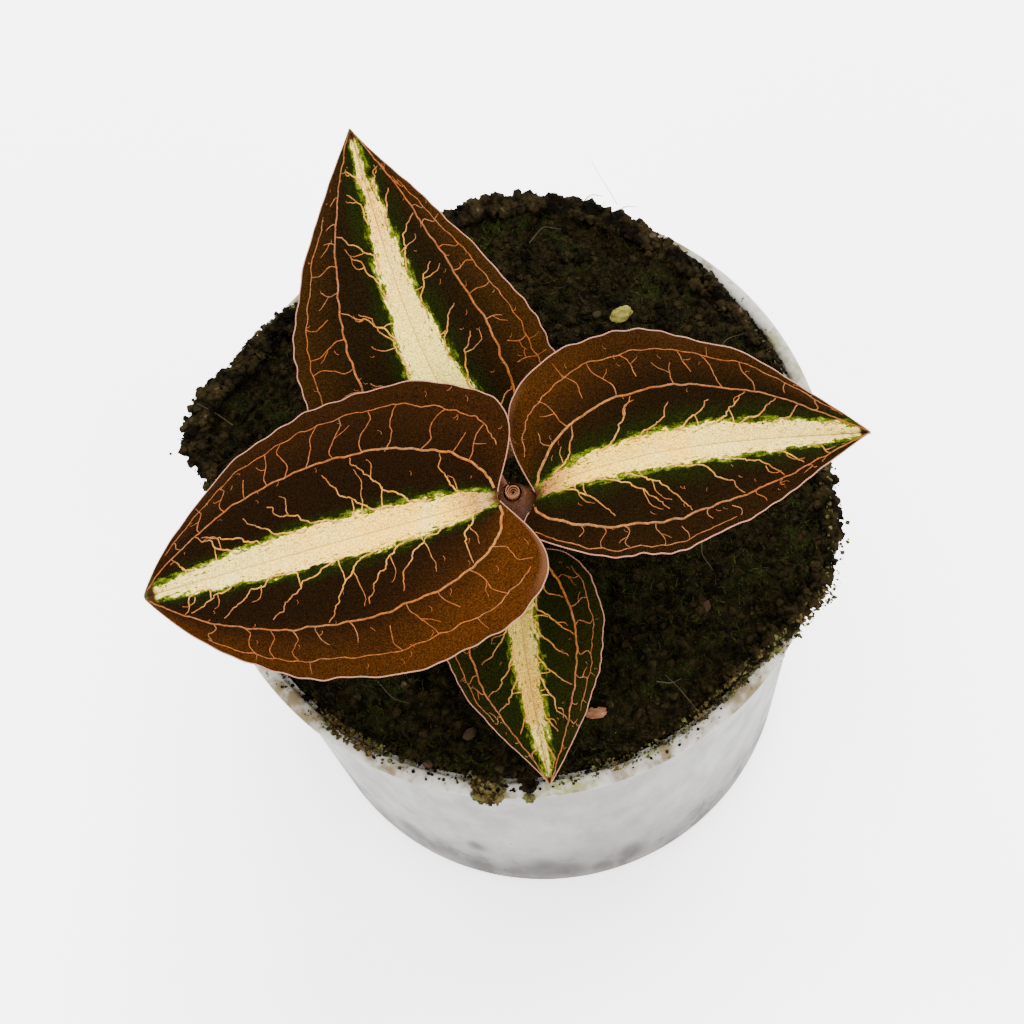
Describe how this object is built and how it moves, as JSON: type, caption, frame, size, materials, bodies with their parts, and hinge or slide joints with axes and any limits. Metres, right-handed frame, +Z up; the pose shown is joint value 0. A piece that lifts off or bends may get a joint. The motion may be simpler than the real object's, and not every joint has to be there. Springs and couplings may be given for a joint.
{
  "type": "potted jewel orchid",
  "caption": "Low potted foliage orchid: broad veined leaves with a pale midband on a short stem, standing in soil in a round tapered plastic pot.",
  "frame": {"origin": "centre of the pot's flat underside, on the surface that it stands on", "axes": "+Z up along the pot's axis; -Y towards the viewer of the picture, where the smallest leaf points; +X to the viewer's right"},
  "size_m": [0.1008, 0.0902, 0.1201],
  "materials": {
    "pot": "milky translucent thin plastic",
    "soil": "damp crumbly peat, matte",
    "stem": "fleshy, satin",
    "rolled_leaf": "soft, satin",
    "leaf_left": "velvety with pale veins and a cream midband",
    "leaf_right": "velvety with pale veins and a cream midband",
    "leaf_back": "velvety with pale veins and a cream midband",
    "leaf_front": "velvety with pale veins and a cream midband",
    "bark_chip_back": "rough, dry",
    "bark_chip_front": "rough, dry"
  },
  "bodies": {
    "root": {"pot": "pot", "soil": "soil", "stem": "stem", "rolled_leaf": "rolled_leaf", "leaf_left": "leaf_left", "leaf_right": "leaf_right", "leaf_back": "leaf_back", "leaf_front": "leaf_front", "bark_chip_back": "bark_chip_back", "bark_chip_front": "bark_chip_front"}
  },
  "joints": []
}
